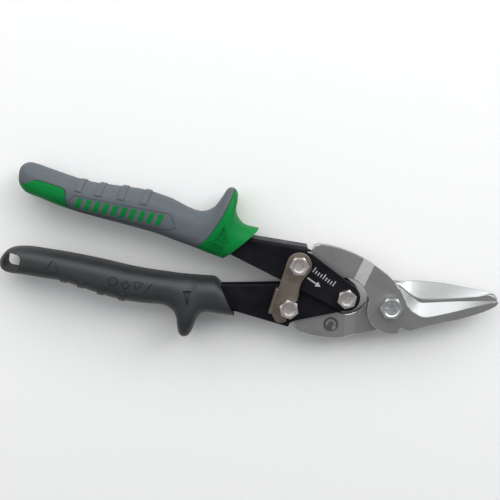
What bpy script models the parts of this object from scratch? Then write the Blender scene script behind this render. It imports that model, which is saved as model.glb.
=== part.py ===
"""Right-cutting compound-action aviation snips, lying flat with the jaws shut.

+X runs along the linkage's axis of symmetry to the nose, +Y to the upper handle, and +Z up
from the surface that the tool lies on. Lengths here are in millimetres from the main pivot
and from the shear plane between the blades; every mesh is scaled to metres as it is finished.
The finished tool's origin is at the bottom centre of its bounding box.
"""
import bpy
import bmesh
from math import atan2, cos, pi, radians, sin, sqrt
from mathutils import Matrix, Vector

MM = 0.001

# Linkage, centre to centre, with the jaws shut
TANG_REACH = 52.3            # main pivot to either tang pivot
HANDLE_ARM = 29.8            # handle pivot to either tang pivot
TANG_HALF_ANGLE = 12.5       # degrees between the axis and either tang pivot
LATCH_RELEASE = 4.0          # degrees that the latch stands off its hooked place

# Clearances
RUN_GAP = 0.3                # between bores and pins, and between plates that slide
SEAT_GAP = 0.15              # between flat faces that rest on one another
OPEN_PIVOT_GAP = 0.8         # round the upper tang's bolt, in the tang's bore

# Steel
BLADE_T = 4.6
BLADE_TIP_T = 2.2
EDGE_T = 0.25                # blunt thickness of a cutting edge
RELIEF_EDGE_T = 2.0          # thickness left along a jaw's back
JAW_LENGTH = 55.0            # main pivot to the tip
JAW_ANGLE = 14.9             # degrees from the axis to the cutting edges
JAW_DRAWN = 55.0             # the length that the jaws' outlines are drawn at
JAW_TAPER_START = 15.0
HUB_R = 12.9
HUB_CENTRE = (1.2, -1.0)     # of the front blade's round hub
TANG_END_R = 6.4
UPPER_BELLY = 12.0           # how far each tang bulges outside its bolt
LOWER_BELLY = 12.7
PLATE_T = 2.3
BEND_R = 1.8                 # outside of the channels' bends
HANDLE_END_R = 7.0
UPPER_WEB_RISE = 9.4         # from each tang's bolt out to the channel's web
LOWER_WEB_RISE = 11.0
LATCH_T = 1.6
LATCH_EYE_R = 6.4
LATCH_TAB_H = 5.2
LATCH_PLAY = 0.4             # round the neck that it hooks

# Fasteners
BOLT_R = 3.0
BOLT_AF = 8.7                # across the hexagon's flats
BOLT_HEAD_H = 3.8
NUT_H = 4.2
DISH_R = 3.1
DISH_DEPTH = 0.8
MAIN_BOLT_R = 4.0
MAIN_BOLT_AF = 10.2
MAIN_HEAD_H = 4.4
MAIN_NUT_H = 5.0
NECK_R = 1.8                 # of the bolt that the latch hooks
COLLAR_R = 4.2
WAVE_WASHER_T = 0.3
WAVE_HEIGHT = 0.1
WIRE_R = 0.6
SPRING_R = 5.5               # to the middle of the wire
SPRING_TURNS = 2.5
SPRING_LEG = 17.0
BUSH_WALL = 1.0

# Grips
GRIP_LENGTH = 92.6           # from the neck behind the finger guard to the tail
GRIP_WALL = 3.0              # over the channel's edges
CHANNEL_END_GAP = 31.5       # from the grip's tail to the end of the steel
HANG_HOLE = 8.4
HANG_HOLE_FROM_TAIL = 7.0

# Pivot centres
TANG_X = -TANG_REACH * cos(radians(TANG_HALF_ANGLE))
TANG_Y = TANG_REACH * sin(radians(TANG_HALF_ANGLE))
MAIN_PIVOT = Vector((0, 0, 0))
UPPER_PIVOT = Vector((TANG_X, TANG_Y, 0))
LOWER_PIVOT = Vector((TANG_X, -TANG_Y, 0))
HANDLE_PIVOT = Vector((TANG_X + sqrt(HANDLE_ARM ** 2 - TANG_Y ** 2), 0, 0))

# Levels, up and down from the shear plane
BLADE_FACE = SEAT_GAP + BLADE_T
TANG_FACE = BLADE_T / 2
LOWER_IN = TANG_FACE + RUN_GAP
LOWER_OUT = LOWER_IN + PLATE_T
UPPER_IN = LOWER_OUT + RUN_GAP
UPPER_OUT = UPPER_IN + PLATE_T
LATCH_BASE = UPPER_OUT + WAVE_WASHER_T + 2 * WAVE_HEIGHT + 2 * SEAT_GAP
LATCH_TOP = LATCH_BASE + LATCH_T
GRIP_HALF = UPPER_OUT + SEAT_GAP + NUT_H     # so that the tool lies level on nuts and grips
NECK_X = TANG_X - 56.0                       # where the grips' length starts

RING = 24                                    # points round bolts and bores
GRIP_RING = 20
GRIP_SQUARENESS = 2.6                        # exponent of the grips' superellipse


# ---------------------------------------------------------------- drawing helpers

def arc(centre, radius, start, end, count=8):
    """Points round an arc, both ends included, angles in degrees."""
    turn = [radians(start + (end - start) * i / (count - 1)) for i in range(count)]
    return [(centre[0] + radius * cos(a), centre[1] + radius * sin(a)) for a in turn]


def smooth(points, count):
    """A Catmull-Rom curve through points of any dimension, sampled count times."""
    ends = [points[0], *points, points[-1]]
    curve = []
    for i in range(count):
        place = (len(points) - 1) * i / (count - 1)
        span = min(int(place), len(points) - 2)
        t = place - span
        a, b, c, d = ends[span:span + 4]
        curve.append(tuple(
            0.5 * (2 * q + (r - p) * t + (2 * p - 5 * q + 4 * r - s) * t ** 2
                   + (3 * q - p - 3 * r + s) * t ** 3)
            for p, q, r, s in zip(a, b, c, d)))
    return curve


def mirrored(points):
    """The outline on the other side of the axis, still running the same way round."""
    return [(x, -y) for x, y in reversed(points)]


def widened(points, gap):
    """A closed, anticlockwise outline moved outwards by a gap."""
    result = []
    for i, (x, y) in enumerate(points):
        before = Vector((x, y)) - Vector(points[i - 1])
        after = Vector(points[(i + 1) % len(points)]) - Vector((x, y))
        normals = [Vector((side.y, -side.x)).normalized() for side in (before, after)]
        middle = (normals[0] + normals[1]).normalized()
        reach = gap / max(0.4, middle.dot(normals[0]))
        result.append((x + middle.x * reach, y + middle.y * reach))
    return result


def loft(rings):
    """A closed body: the first ring's face extruded from ring to ring."""
    bm = bmesh.new()
    first = face = bm.faces.new([bm.verts.new(point) for point in rings[0]])
    for ring in rings[1:]:
        made = bmesh.ops.extrude_face_region(bm, geom=[face])["geom"]
        if face.is_valid and face is not first:
            bmesh.ops.delete(bm, geom=[face], context="FACES_ONLY")
        face = next(item for item in made if isinstance(item, bmesh.types.BMFace))
        for vert, point in zip(face.verts, ring):
            vert.co = point
    return bm


def prism(outline, low, high):
    """An outline drawn in XY, extruded from one level to another."""
    return loft([[(x, y, z) for x, y in outline] for z in (low, high)])


def circle(radius, z, centre=(0, 0)):
    return [(x, y, z) for x, y in arc(centre, radius, 0, 360 - 360 / RING, RING)]


def hexagon(flats, z, inset=0.0):
    """A hexagon drawn with as many points as a circle, so that the two can be lofted."""
    ring = []
    for i in range(RING):
        angle = 2 * pi * i / RING
        from_flat = (angle % (pi / 3)) - pi / 6
        radius = flats / 2 / cos(from_flat) - inset
        ring.append((radius * cos(angle), radius * sin(angle), z))
    return ring


def turned(profile, segments=RING):
    """A ring turned round the Z axis from a closed profile of radius and height."""
    bm = bmesh.new()
    verts = [bm.verts.new((radius, 0, z)) for radius, z in profile]
    edges = [bm.edges.new((verts[i - 1], verts[i])) for i in range(len(verts))]
    bmesh.ops.spin(bm, geom=verts + edges, axis=(0, 0, 1), cent=(0, 0, 0), angle=2 * pi,
                   steps=segments, use_merge=True)
    bmesh.ops.remove_doubles(bm, verts=bm.verts, dist=0.001)
    return bm


# ---------------------------------------------------------------- scene helpers

def clear_scene():
    for item in list(bpy.data.objects):
        bpy.data.objects.remove(item, do_unlink=True)


def material(name, colour, roughness, metallic):
    made = bpy.data.materials.new(name)
    made.use_nodes = True
    shader = made.node_tree.nodes["Principled BSDF"]
    shader.inputs["Base Color"].default_value = (*colour, 1)
    shader.inputs["Roughness"].default_value = roughness
    shader.inputs["Metallic"].default_value = metallic
    return made


def add(name, bm, finish, pivot, turn=0.0):
    """Make an object whose origin is on its pivot. The mesh is drawn in the tool's frame."""
    bmesh.ops.recalc_face_normals(bm, faces=bm.faces)
    bmesh.ops.translate(bm, verts=bm.verts, vec=-pivot)
    bmesh.ops.scale(bm, verts=bm.verts, vec=(MM, MM, MM))
    mesh = bpy.data.meshes.new(name)
    bm.to_mesh(mesh)
    bm.free()
    mesh.shade_smooth()
    mesh.set_sharp_from_angle(angle=radians(35))
    item = bpy.data.objects.new(name, mesh)
    item.location = pivot * MM
    item.rotation_euler.z = radians(turn)
    bpy.context.collection.objects.link(item)
    item.parent = FRAME
    if finish:
        mesh.materials.append(finish)
    return item


def cutter(name, bm):
    item = add(name, bm, None, MAIN_PIVOT)
    item.hide_render = True
    item.display_type = "WIRE"
    return item


def carve(item, tool, operation="DIFFERENCE"):
    step = item.modifiers.new(tool.name, "BOOLEAN")
    step.operation = operation
    step.solver = "EXACT"
    step.object = tool


def bore(item, pivot, radius):
    """A round hole right through a piece."""
    bm = loft([circle(radius, z, pivot) for z in (-30, 30)])
    carve(item, cutter(f"{item.name}_bore_{len(item.modifiers)}", bm))


# ---------------------------------------------------------------- blades

def jaw_point(along, across):
    """A place given along the cutting edges' direction and square to it."""
    c, s = cos(radians(JAW_ANGLE)), sin(radians(JAW_ANGLE))
    reach = along * JAW_LENGTH / JAW_DRAWN
    return (reach * c - across * s, reach * s + across * c)


def tang_back(belly):
    """Outer edge of the upper tang, from its shoulder by the handle to the hub."""
    x, y = UPPER_PIVOT.x, UPPER_PIVOT.y
    shoulder = [(x + 5.2, y + 6.4), (x + 5.8, y + 9.2), (x + 6.2, y + belly - 1.4),
                (x + 8.0, y + belly - 0.5)]
    hump = [(x + 13.6, y + belly), (x + 20, y + belly - 0.2), (x + 28, y + belly - 1.4),
            (-16.0, 20.0), (-10.4, 17.9), (-5.0, 15.4), (-0.8, 12.9)]
    return shoulder + smooth([shoulder[-1], *hump], 12)[1:]


def tang_front():
    """Inner edge of the upper tang, from the hub to the end that turns round its bolt."""
    x, y = UPPER_PIVOT.x, UPPER_PIVOT.y
    inner = smooth([(-12.6, 2.8), (-14.9, 6.0), (-18.2, 8.3), (-23.0, 9.4), (-30, 8.4),
                    (x + 9.5, y - 4.0)], 9)
    return inner + arc((x, y), TANG_END_R, -62, -290, 13)


def blade(name, outer, middle, shear, side, finish):
    """A forged blade from three outlines with equally many points: its outer face, the
    widest outline with its thicknesses, and the face that slides on the other blade.
    side is 1 for the blade above the shear plane and -1 for the one below."""
    rings = [[(x, y, 0) for x, y in shear], middle, [(x, y, BLADE_T) for x, y in outer]]
    bm = loft(rings)
    along = Vector((cos(radians(JAW_ANGLE)), sin(radians(JAW_ANGLE)), 0))
    ramp_starts = Vector((-14.8, 12.6 * side, 0))
    ramp_ends = Vector((-20.4, 15.0 * side, 0))
    ramp_way = Vector((-0.96, 0.2 * side, 0)).normalized()
    planes = [(along * JAW_TAPER_START, along), (ramp_starts, ramp_way), (ramp_ends, ramp_way)]
    for place, normal in planes:
        geometry = [*bm.verts, *bm.edges, *bm.faces]
        bmesh.ops.bisect_plane(bm, geom=geometry, plane_co=place, plane_no=normal, dist=0.001)
    ramp = (ramp_ends - ramp_starts).dot(ramp_way)
    for vert in bm.verts:
        beyond = max(0, vert.co.dot(along) - JAW_TAPER_START)
        taper = 1 - beyond / (JAW_LENGTH - JAW_TAPER_START) * (1 - BLADE_TIP_T / BLADE_T)
        flat = Vector((vert.co.x, vert.co.y, 0))
        joggle = min(1, max(0, (flat - ramp_starts).dot(ramp_way) / ramp))
        height = SEAT_GAP + vert.co.z * max(taper, 0.3) - joggle * (SEAT_GAP + BLADE_T / 2)
        vert.co.z = side * height
    bmesh.ops.triangulate(bm, faces=[face for face in bm.faces if len(face.verts) > 4])
    item = add(name, bm, finish, MAIN_PIVOT)
    bore(item, MAIN_PIVOT, MAIN_BOLT_R + RUN_GAP)
    return item


def front_blade(finish):
    """Upper tang and lower jaw. The cutting edge looks up, and the jaw's outer face falls
    from a ridge to that edge."""
    plain = tang_back(UPPER_BELLY)
    edge = smooth([(2.2, 11.2), (7.0, 8.6), jaw_point(13.2, 3.0), jaw_point(16.0, 1.1),
                   jaw_point(21, 0.9), jaw_point(32, 1.1), jaw_point(45, 1.0),
                   jaw_point(55.2, 1.0)], 20)
    ridge = smooth([(1.6, 10.6), (5.0, 7.0), (8.3, 2.8), jaw_point(12.5, -3.4),
                    jaw_point(18.2, -5.6), jaw_point(29, -4.2), jaw_point(42, -1.6),
                    jaw_point(53.8, 0.5)], 20)
    back = smooth([jaw_point(55.5, 0.3), jaw_point(53.6, -1.9), jaw_point(46.0, -4.9),
                   jaw_point(34, -7.8), jaw_point(22, -9.8), jaw_point(9.6, -12.6)], 14)
    land = smooth([jaw_point(55.2, 0.2), jaw_point(52.8, -1.6), jaw_point(44.5, -3.4),
                   jaw_point(32, -3.6), jaw_point(19.5, -3.9), jaw_point(12.2, -11.4)], 14)
    notch = [(9.4, -9.7), (8.0, -9.1), (6.8, -10.6), (7.5, -12.0)]
    hub = arc(HUB_CENTRE, HUB_R, -66, -190, 14)
    rest = notch + hub + tang_front()
    outer = plain + ridge + back + rest
    shear = plain + edge + land + rest
    thickness = BLADE_T - EDGE_T
    middle = ([(x, y, thickness) for x, y in plain] + [(x, y, EDGE_T) for x, y in edge]
              + [(x, y, BLADE_T - RELIEF_EDGE_T) for x, y in back]
              + [(x, y, thickness) for x, y in rest])
    item = blade("front_blade", outer, middle, shear, 1, finish)
    bore(item, UPPER_PIVOT, BOLT_R + OPEN_PIVOT_GAP)
    return item


def back_blade(finish):
    """Lower tang and upper jaw. Its relief is on the side that faces up, between the land
    along the cutting edge and the jaw's back."""
    plain = mirrored(tang_front()) + mirrored(arc(HUB_CENTRE, HUB_R, -150, -190, 5))
    back = smooth([(-2.0, 12.4), (4.0, 13.1), jaw_point(11.2, 11.8), jaw_point(19, 11.3),
                   jaw_point(31, 9.6), jaw_point(43, 6.9), jaw_point(51.5, 4.9),
                   jaw_point(54.8, 3.3), jaw_point(55.8, 1.2)], 20)
    land = smooth([(-1.6, 12.0), (2.4, 11.8), jaw_point(10.6, 5.8), jaw_point(15, 3.2),
                   jaw_point(21, 2.5), jaw_point(34, 2.6), jaw_point(44.5, 3.2),
                   jaw_point(51.0, 4.0), jaw_point(55.3, 1.0)], 20)
    edge = smooth([jaw_point(55.3, 0.1), jaw_point(48, -0.8), jaw_point(36, -1.4),
                   jaw_point(24, -2.2), jaw_point(14.5, -4.0), jaw_point(8.8, -9.8)], 14)
    ridge = smooth([jaw_point(54.6, 1.4), jaw_point(48, 2.2), jaw_point(36, 3.2),
                    jaw_point(24, 4.4), jaw_point(12.5, 0.5), jaw_point(5.8, -9.2)], 14)
    rest = smooth([(2.2, -11.2), (-1.0, -12.9)], 2) + mirrored(tang_back(LOWER_BELLY))[1:]
    outer = plain + back + ridge + rest
    shear = plain + land + edge + rest
    thickness = BLADE_T - EDGE_T
    middle = ([(x, y, thickness) for x, y in plain]
              + [(x, y, BLADE_T - RELIEF_EDGE_T) for x, y in back]
              + [(x, y, EDGE_T) for x, y in edge] + [(x, y, thickness) for x, y in rest])
    item = blade("back_blade", outer, middle, shear, -1, finish)
    bore(item, LOWER_PIVOT, BOLT_R + RUN_GAP)
    return item


# ---------------------------------------------------------------- grips and channels

def grip_place(along, across):
    """A place beside a grip: along from the neck (0) to the tail (1), and across in
    millimetres from the tool's axis."""
    return (NECK_X - along * GRIP_LENGTH, across)


def upper_stations():
    """Top edge, lower edge and width, as shares of the full half width, down the grip."""
    tail = [(0.987, 25.6, 0.986, 22.6, 0.25), (0.984, 27.6, 0.978, 19.8, 0.55),
            (0.966, 29.4, 0.96, 17.2, 0.78), (0.93, 30.1, 0.92, 15.0, 0.92)]
    back = [(0.835, 29.1, 0.84, 13.9, 0.98), (0.72, 27.9, 0.735, 12.3, 1.0),
            (0.61, 27.3, 0.625, 11.4, 1.0), (0.465, 28.4, 0.48, 10.8, 1.0),
            (0.31, 29.6, 0.34, 10.4, 1.0), (0.165, 28.5, 0.195, 9.7, 0.98),
            (0.045, 25.8, 0.075, 8.2, 0.94)]
    rows = []
    for top_at, top, low_at, low, width in tail + back:
        rows.append((*grip_place(top_at, top), *grip_place(low_at, low), width))
    x = NECK_X
    rows += [(x + 2.5, 25.6, x + 1.2, 7.2, 0.93), (x + 7.6, 28.9, x + 6.0, 6.4, 0.95),
             (x + 10.4, 34.6, x + 9.4, 5.8, 0.97), (x + 12.2, 39.4, x + 11.6, 5.5, 0.98),
             (x + 14.6, 41.0, x + 13.4, 5.3, 0.99), (x + 17.4, 39.5, x + 15.0, 5.1, 1.0),
             (x + 18.5, 35.4, x + 16.0, 5.0, 1.0), (x + 18.8, 30.6, x + 16.5, 4.95, 1.0),
             (x + 20.8, 26.8, x + 16.9, 4.9, 1.0), (x + 25.0, 23.9, x + 17.2, 4.85, 0.97),
             (x + 32.2, 23.7, x + 17.4, 4.8, 0.93)]
    return rows


def lower_stations():
    """As upper_stations, with the inner edge first and the thumb horn on the outer edge."""
    tail = [(1.0, -21.4, 0.997, -24.2, 0.22), (0.99, -19.0, 0.985, -25.8, 0.46),
            (0.972, -16.2, 0.963, -27.0, 0.62), (0.935, -13.9, 0.925, -27.3, 0.72)]
    back = [(0.86, -12.2, 0.855, -26.6, 0.80), (0.747, -11.4, 0.745, -25.9, 0.87),
            (0.635, -10.8, 0.637, -25.2, 0.94), (0.465, -10.3, 0.475, -26.7, 0.98),
            (0.31, -10.4, 0.322, -27.8, 1.0), (0.184, -9.9, 0.192, -27.0, 0.99),
            (0.075, -9.0, 0.07, -25.5, 0.97)]
    rows = []
    for top_at, top, low_at, low, width in tail + back:
        rows.append((*grip_place(top_at, top), *grip_place(low_at, low), width))
    x = NECK_X
    rows += [(x - 2.5, -8.6, x - 1.1, -27.4, 0.96), (x - 0.5, -8.3, x + 1.4, -30.6, 0.96),
             (x + 1.0, -8.0, x + 3.0, -35.2, 0.96), (x + 2.4, -7.8, x + 4.8, -38.8, 0.96),
             (x + 3.6, -7.7, x + 7.2, -39.8, 0.96), (x + 4.8, -7.5, x + 9.6, -38.2, 0.96),
             (x + 6.0, -7.3, x + 10.9, -34.5, 0.97), (x + 7.4, -7.1, x + 11.5, -29.6, 0.98),
             (x + 9.4, -6.9, x + 12.8, -26.1, 0.98), (x + 12.5, -6.4, x + 16.0, -24.1, 0.96),
             (x + 16.0, -5.9, x + 23.0, -23.6, 0.90), (x + 18.7, -7.2, x + 30.2, -23.0, 0.80)]
    return rows


def grip_ring(station):
    """A superellipse between the two edges of a station."""
    top_x, top_y, low_x, low_y, width = station
    ring = []
    for i in range(GRIP_RING):
        angle = 2 * pi * i / GRIP_RING
        up = abs(cos(angle)) ** (2 / GRIP_SQUARENESS) * (1 if cos(angle) > 0 else -1)
        side = abs(sin(angle)) ** (2 / GRIP_SQUARENESS) * (1 if sin(angle) > 0 else -1)
        x = (top_x + low_x) / 2 + up * (top_x - low_x) / 2
        y = (top_y + low_y) / 2 + up * (top_y - low_y) / 2
        ring.append((x, y, side * width * GRIP_HALF))
    return ring


def grip_body(stations):
    return loft([grip_ring(row) for row in smooth(stations, 2 * len(stations))])


def handle_lines(stations, web_edge, lip_edge, side):
    """A channel from the side, drawn as the upper handle's: the web's outer line from the
    tail to its front end, and the plates' open edge from there round the handle pivot and
    back to the tail."""
    end = NECK_X - (GRIP_LENGTH - CHANNEL_END_GAP)
    rows = [row for row in smooth(stations, 60) if end < row[0] < NECK_X - 2][::6]
    web = [(row[web_edge], side * row[web_edge + 1] - GRIP_WALL) for row in rows]
    lip = [(row[lip_edge], side * row[lip_edge + 1] + GRIP_WALL) for row in rows]
    x, y = UPPER_PIVOT.x, UPPER_PIVOT.y
    rise = UPPER_WEB_RISE if side > 0 else LOWER_WEB_RISE
    web += [(x - 25.5, y + rise - 1.8), (x + 2.4, y + rise)]
    nose = [(x + 2.7, y + rise - PLATE_T - 0.2), (x + 5.0, y + 6.7)]
    nose += arc(HANDLE_PIVOT, HANDLE_END_R, 62, -104, 14)
    return web, nose + [(x - 6.4, y - 10.2), (x - 35.6, y - 2.7)] + lip[::-1]


def channel(name, stations, levels, side, pivot, finish):
    """A pressed channel: its outline as thick as the channel is wide, with the web's corners
    rounded, less the slot between its plates. Both are drawn as the upper handle's, and
    turned over for the lower one."""
    inner, outer = levels
    web_edge, lip_edge = (0, 2) if side > 0 else (2, 0)
    web, open_edge = handle_lines(stations, web_edge, lip_edge, side)
    bm = prism(web + open_edge, -outer, outer)
    on_web = {(round(x, 3), round(y, 3)) for x, y in web}
    bends = [edge for edge in bm.edges
             if all((round(v.co.x, 3), round(v.co.y, 3)) in on_web for v in edge.verts)
             and abs(edge.verts[0].co.z - edge.verts[1].co.z) < SEAT_GAP]
    bmesh.ops.bevel(bm, geom=bends, offset=BEND_R, segments=3, profile=0.5, affect="EDGES",
                    material=-1)
    beyond = 20.0
    under_web = [(x, y - PLATE_T) for x, y in web]
    under_web = [(web[0][0] - beyond, under_web[0][1]), *under_web,
                 (HANDLE_PIVOT.x + beyond, under_web[-1][1])]
    below = [(HANDLE_PIVOT.x + beyond, -3 * beyond), (web[0][0] - beyond, -3 * beyond)]
    slot = prism(under_web + below, -inner, inner)
    pocket = prism(widened((web + open_edge)[::-1], RUN_GAP), -outer - RUN_GAP, outer + RUN_GAP)
    for mesh in (bm, slot, pocket):
        bmesh.ops.scale(mesh, verts=mesh.verts, vec=(1, side, 1))
    item = add(name, bm, finish, pivot)
    carve(item, cutter(f"{name}_slot", slot))
    bore(item, HANDLE_PIVOT, BOLT_R + RUN_GAP)
    bore(item, UPPER_PIVOT if side > 0 else LOWER_PIVOT, BOLT_R + RUN_GAP)
    return cutter(f"{name}_pocket", pocket)


def guard_region(shift):
    """Everything in front of the line where the green finger guard meets the grey grip."""
    x = NECK_X + shift
    line = smooth([(x + 16.9, 48.0), (x + 15.9, 41.0), (x + 14.4, 33.0), (x + 12.2, 25.0),
                   (x + 8.6, 16.0), (x + 3.9, 8.3), (x - 2.0, 0.0)], 14)
    return prism([*line, (x + 60, 0), (x + 60, 48)], -2 * GRIP_HALF, 2 * GRIP_HALF)


def tail_region(shift):
    """The lower corner of the upper grip's tail, under a wavy line."""
    def spot(along, across):
        x, y = grip_place(along, across - shift)
        return (x - shift, y)
    line = [spot(1.05, 21.5), spot(0.972, 20.9), spot(0.937, 20.3), spot(0.915, 21.4),
            spot(0.886, 23.4), spot(0.85, 23.8), spot(0.79, 23.4), spot(0.725, 22.6),
            spot(0.708, 20.6), spot(0.70, 16.8), spot(0.685, 12.9), spot(0.67, 5.0)]
    return prism([*line, spot(1.05, 5.0)], -2 * GRIP_HALF, 2 * GRIP_HALF)


def upper_grip(pocket, grey, green):
    """The upper grip's body, shared out between the grey cover, the guard and the tail
    insert, each a gap away from its neighbours."""
    stations = upper_stations()
    grip = add("upper_grip", grip_body(stations), grey, HANDLE_PIVOT)
    guard = add("upper_grip_guard", grip_body(stations), green, HANDLE_PIVOT)
    insert = add("upper_grip_tail_insert", grip_body(stations), green, HANDLE_PIVOT)
    carve(grip, pocket)
    carve(guard, pocket)
    carve(grip, cutter("guard_cut", guard_region(0)))
    carve(guard, cutter("guard_part", guard_region(RUN_GAP)), "INTERSECT")
    carve(grip, cutter("insert_cut", tail_region(0)))
    carve(insert, cutter("insert_part", tail_region(RUN_GAP)), "INTERSECT")


def lower_grip(pocket, charcoal):
    grip = add("lower_grip", grip_body(lower_stations()), charcoal, HANDLE_PIVOT)
    carve(grip, pocket)
    x = grip_place(1.0, 0)[0] + HANG_HOLE_FROM_TAIL
    centre = (x, -20.5)
    half = HANG_HOLE / 2
    corner = half * 0.62
    outline = []
    for turn, sx, sy in ((0, 1, 1), (90, -1, 1), (180, -1, -1), (270, 1, -1)):
        middle = (centre[0] + sx * (half - corner), centre[1] + sy * (half - corner))
        outline += arc(middle, corner, turn, turn + 90, 6)
    carve(grip, cutter("hang_hole", prism(outline, -2 * GRIP_HALF, 2 * GRIP_HALF)))


# ---------------------------------------------------------------- fasteners

def hex_bolt(name, pivot, base, end, flats, head, radius, finish, turn, neck=None):
    """A bolt with a dished hexagon head whose seat is at base, and its end at the other
    level. turn is where the hexagon stopped when it was tightened. A neck is a thinner
    stretch just under the head, given by its lower level."""
    rim = 0.5
    rings = [circle(radius - rim, end), circle(radius, end + rim)]
    if neck is None:
        rings += [circle(radius, base)]
    else:
        rings += [circle(radius, neck), circle(NECK_R, neck), circle(NECK_R, base)]
    top = base + head
    rings += [hexagon(flats, base), hexagon(flats, top - rim), hexagon(flats, top, rim),
              circle(DISH_R * flats / BOLT_AF, top),
              circle(DISH_R * flats / BOLT_AF - rim, top - DISH_DEPTH)]
    return add(name, placed(loft(rings), pivot), finish, pivot, turn)


def placed(bm, pivot):
    bmesh.ops.translate(bm, verts=bm.verts, vec=pivot)
    return bm


def hex_nut(name, pivot, seat, height, flats, radius, finish):
    """A nut under its seat, bored for its bolt."""
    rim = 0.5
    rings = [hexagon(flats, seat), hexagon(flats, seat - height + rim),
             hexagon(flats, seat - height, rim)]
    item = add(name, placed(loft(rings), pivot), finish, pivot)
    bore(item, pivot, radius + RUN_GAP)


def ring(name, pivot, inner, outer, low, high, finish, waves=0.0):
    """A washer, collar or bush. A wave washer's faces ripple three times round."""
    bm = turned([(inner, low), (outer, low), (outer, high), (inner, high)])
    for vert in bm.verts:
        vert.co.z += waves * cos(3 * atan2(vert.co.y, vert.co.x))
    return add(name, placed(bm, pivot), finish, pivot)


def latch(finish):
    """A hook plate that turns on the upper tang's bolt: a round eye, a waist, a lip that
    reaches under the lower bolt's neck, and a thumb tab bent up along its tail side. It is
    drawn hooked, hanging from its pivot, and then turned to where it is let go."""
    drop = 2 * TANG_Y
    mouth = NECK_R + LATCH_PLAY
    eye = arc((0, 0), LATCH_EYE_R, -22, 180, 14)
    tail = [(-LATCH_EYE_R, -drop - 4.6), (-4.4, -drop - 6.8)]
    lobe = arc((-1.4, -drop - 4.2), 4.5, -112, -32, 6)
    lip = [(1.9, -drop - 5.2), (0.9, -drop - 3.4), (0.4, -drop - mouth)]
    notch = arc((0, -drop), mouth, 270, 90, 9)
    nose = [(3.0, -drop + mouth), (4.6, -drop + 5.2), (4.4, -drop + 7.6)]
    waist = smooth([nose[-1], (3.7, -10.4), (4.2, -6.4), eye[0]], 6)[1:-1]
    outline = eye + tail + lobe + lip + notch + nose + waist
    bm = prism(outline, LATCH_BASE, LATCH_TOP)
    tab = prism([(-LATCH_EYE_R - LATCH_T, -drop - 4.4), (-LATCH_EYE_R + 0.2, -drop - 4.4),
                 (-LATCH_EYE_R + 0.2, -drop + 8.8), (-LATCH_EYE_R - LATCH_T, -drop + 8.8)],
                LATCH_BASE, LATCH_TOP + LATCH_TAB_H)
    item = add("latch", placed(bm, UPPER_PIVOT), finish, UPPER_PIVOT, -LATCH_RELEASE)
    side = cutter("latch_tab", placed(tab, UPPER_PIVOT))
    side.location = UPPER_PIVOT * MM
    side.data.transform(Matrix.Translation(-UPPER_PIVOT * MM))
    side.rotation_euler.z = radians(-LATCH_RELEASE)
    carve(item, side, "UNION")
    bore(item, UPPER_PIVOT, BOLT_R + RUN_GAP)


def return_spring(finish):
    """A torsion spring round the handle pivot's bush. A leg runs from each end of the coil
    along the inner edge of a tang, and pushes it outwards."""
    rise = 2 * (LOWER_IN - RUN_GAP - WIRE_R)
    steps = int(24 * SPRING_TURNS)
    coil = []
    for i in range(steps + 1):
        share = i / steps
        angle = -pi / 2 + 2 * pi * SPRING_TURNS * share
        coil.append((SPRING_R * cos(angle), SPRING_R * sin(angle), rise * (share - 0.5)))
    lean = 0.10
    first = (-SPRING_LEG, -SPRING_R + SPRING_LEG * lean, -rise / 2)
    last = (-SPRING_LEG, SPRING_R - SPRING_LEG * lean, rise / 2)
    points = [first, *coil, last]
    curve = bpy.data.curves.new("return_spring", "CURVE")
    curve.dimensions = "3D"
    curve.bevel_depth = WIRE_R * MM
    curve.bevel_resolution = 1
    curve.use_fill_caps = True
    line = curve.splines.new("POLY")
    line.points.add(len(points) - 1)
    for knot, point in zip(line.points, points):
        knot.co = (*(Vector(point) * MM), 1)
    curve.materials.append(finish)
    item = bpy.data.objects.new("return_spring", curve)
    item.location = HANDLE_PIVOT * MM
    item.parent = FRAME
    bpy.context.collection.objects.link(item)


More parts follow.
